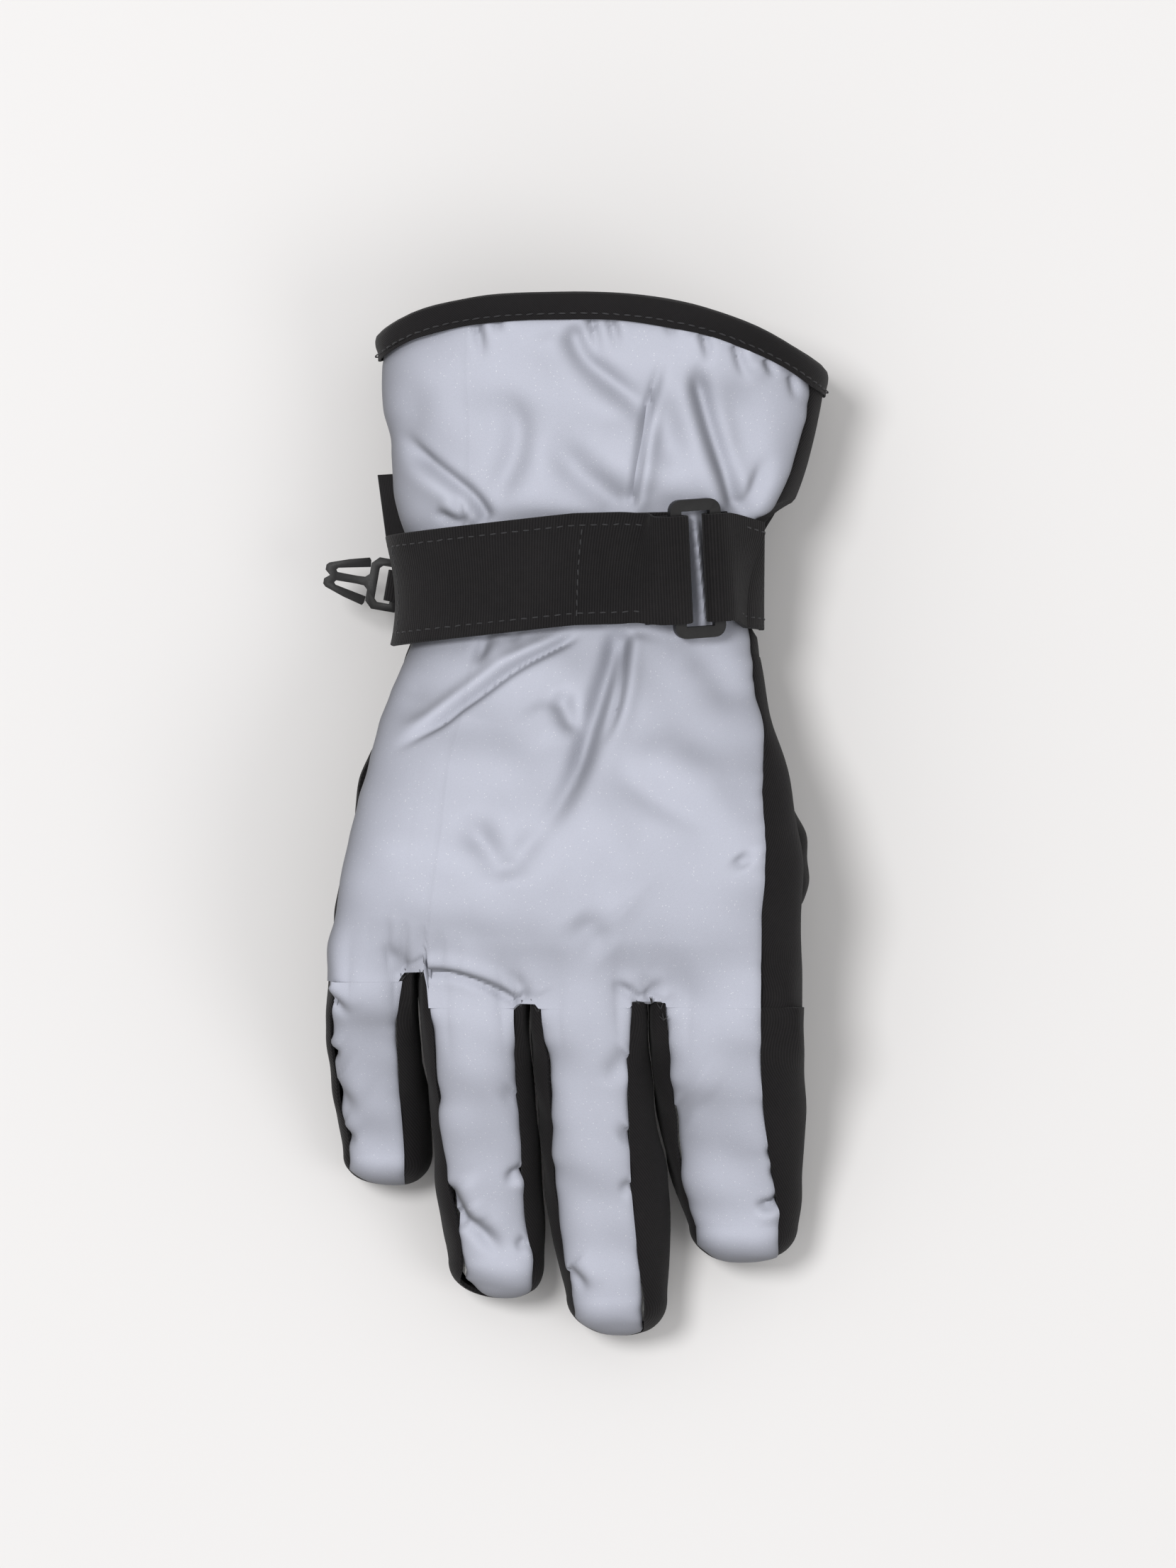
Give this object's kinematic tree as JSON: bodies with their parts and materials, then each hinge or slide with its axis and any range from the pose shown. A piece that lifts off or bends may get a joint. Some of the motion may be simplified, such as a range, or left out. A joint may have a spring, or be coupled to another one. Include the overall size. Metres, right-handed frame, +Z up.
{
  "type": "ski glove",
  "caption": "Padded child's ski glove, palm down: silver-grey reflective back, black palm and sides, ribbed wrist strap through a flat ring, joining clip on the cuff.",
  "frame": {"origin": "middle of the glove's outline, on the surface that it lies on, palm down", "axes": "+Z up, out of the back of the hand; +Y towards the cuff; fingers towards -Y; little finger on the -X side"},
  "size_m": [0.1144, 0.2376, 0.0601],
  "materials": {
    "reflective_fabric": "silver-grey reflective fabric with a fine bead grain",
    "shell_fabric": "black woven nylon, matt",
    "binding_tape": "black twill tape with one row of stitches",
    "webbing": "black ribbed webbing with stitched edges",
    "closure_tape": "black hook and loop tape",
    "label_tape": "black satin tape, no print",
    "padding": "white polyester wadding",
    "insert_film": "thin milky film",
    "lining_fleece": "black brushed fleece",
    "elastic": "white woven elastic",
    "moulded_plastic": "black moulded acetal, fine satin"
  },
  "bodies": {
    "hand": {"back_panel": "reflective_fabric", "palm_panel": "shell_fabric", "index_side_panel": "shell_fabric", "cuff_gusset": "shell_fabric", "cuff_binding": "binding_tape", "back_insulation": "padding", "palm_insulation": "padding", "hand_membrane": "insert_film", "hand_lining": "lining_fleece", "wrist_elastic": "elastic", "thumb_gusset": "shell_fabric", "strap_base": "webbing", "loop_patch": "closure_tape", "ring_tab": "webbing", "clip_loop": "webbing", "side_label": "label_tape"},
    "pinky_finger": {"pinky_back": "reflective_fabric", "pinky_palm": "shell_fabric", "pinky_side_left": "shell_fabric", "pinky_side_right": "shell_fabric", "pinky_insulation": "padding", "pinky_membrane": "insert_film", "pinky_lining": "lining_fleece"},
    "ring_finger": {"ring_back": "reflective_fabric", "ring_palm": "shell_fabric", "ring_side_left": "shell_fabric", "ring_side_right": "shell_fabric", "ring_insulation": "padding", "ring_membrane": "insert_film", "ring_lining": "lining_fleece"},
    "middle_finger": {"middle_back": "reflective_fabric", "middle_palm": "shell_fabric", "middle_side_left": "shell_fabric", "middle_side_right": "shell_fabric", "middle_insulation": "padding", "middle_membrane": "insert_film", "middle_lining": "lining_fleece"},
    "index_finger": {"index_back": "reflective_fabric", "index_palm": "shell_fabric", "index_side_left": "shell_fabric", "index_side_right": "shell_fabric", "index_insulation": "padding", "index_membrane": "insert_film", "index_lining": "lining_fleece"},
    "thumb": {"thumb_back": "shell_fabric", "thumb_front": "shell_fabric", "thumb_insulation": "padding", "thumb_membrane": "insert_film", "thumb_lining": "lining_fleece"},
    "ring": {"ring_buckle": "moulded_plastic"},
    "flap": {"strap_flap": "webbing", "hook_patch": "closure_tape"},
    "clip": {"joining_clip": "moulded_plastic"}
  },
  "joints": [
    {"name": "pinky_curl", "type": "hinge", "parent": "hand", "child": "pinky_finger", "pos_m": [-0.0452, -0.037, 0.0175], "axis": [1, 0, 0], "range_deg": [0, 70], "stiffness_Nm_per_rad": 0.12},
    {"name": "ring_curl", "type": "hinge", "parent": "hand", "child": "ring_finger", "pos_m": [-0.0202, -0.043, 0.0175], "axis": [1, 0, 0], "range_deg": [0, 70], "stiffness_Nm_per_rad": 0.12},
    {"name": "middle_curl", "type": "hinge", "parent": "hand", "child": "middle_finger", "pos_m": [0.0075, -0.043, 0.0175], "axis": [1, 0, 0], "range_deg": [0, 70], "stiffness_Nm_per_rad": 0.12},
    {"name": "index_curl", "type": "hinge", "parent": "hand", "child": "index_finger", "pos_m": [0.0372, -0.043, 0.0175], "axis": [1, 0, 0], "range_deg": [0, 70], "stiffness_Nm_per_rad": 0.12},
    {"name": "thumb_open", "type": "hinge", "parent": "hand", "child": "thumb", "pos_m": [0.036, -0.01, 0.0002], "axis": [0, -1, 0], "range_deg": [0, 75], "stiffness_Nm_per_rad": 0.12},
    {"name": "ring_swing", "type": "hinge", "parent": "hand", "child": "ring", "pos_m": [0.03225, 0.05655, 0.04494], "axis": [-0.0486, 0.9938, 0.1003], "range_deg": [0, 35], "stiffness_Nm_per_rad": 0.002},
    {"name": "flap_peel", "type": "hinge", "parent": "ring", "child": "flap", "pos_m": [0.02335, 0.05585, 0.04757], "axis": [-0.0486, 0.9938, 0.1003], "range_deg": [0, 110], "stiffness_Nm_per_rad": 0.01},
    {"name": "clip_swing", "type": "hinge", "parent": "hand", "child": "clip", "pos_m": [-0.0406, 0.0526, 0.02], "axis": [-0.1736, -0.9848, 0], "range_deg": [-45, 45], "stiffness_Nm_per_rad": 0.002}
  ]
}
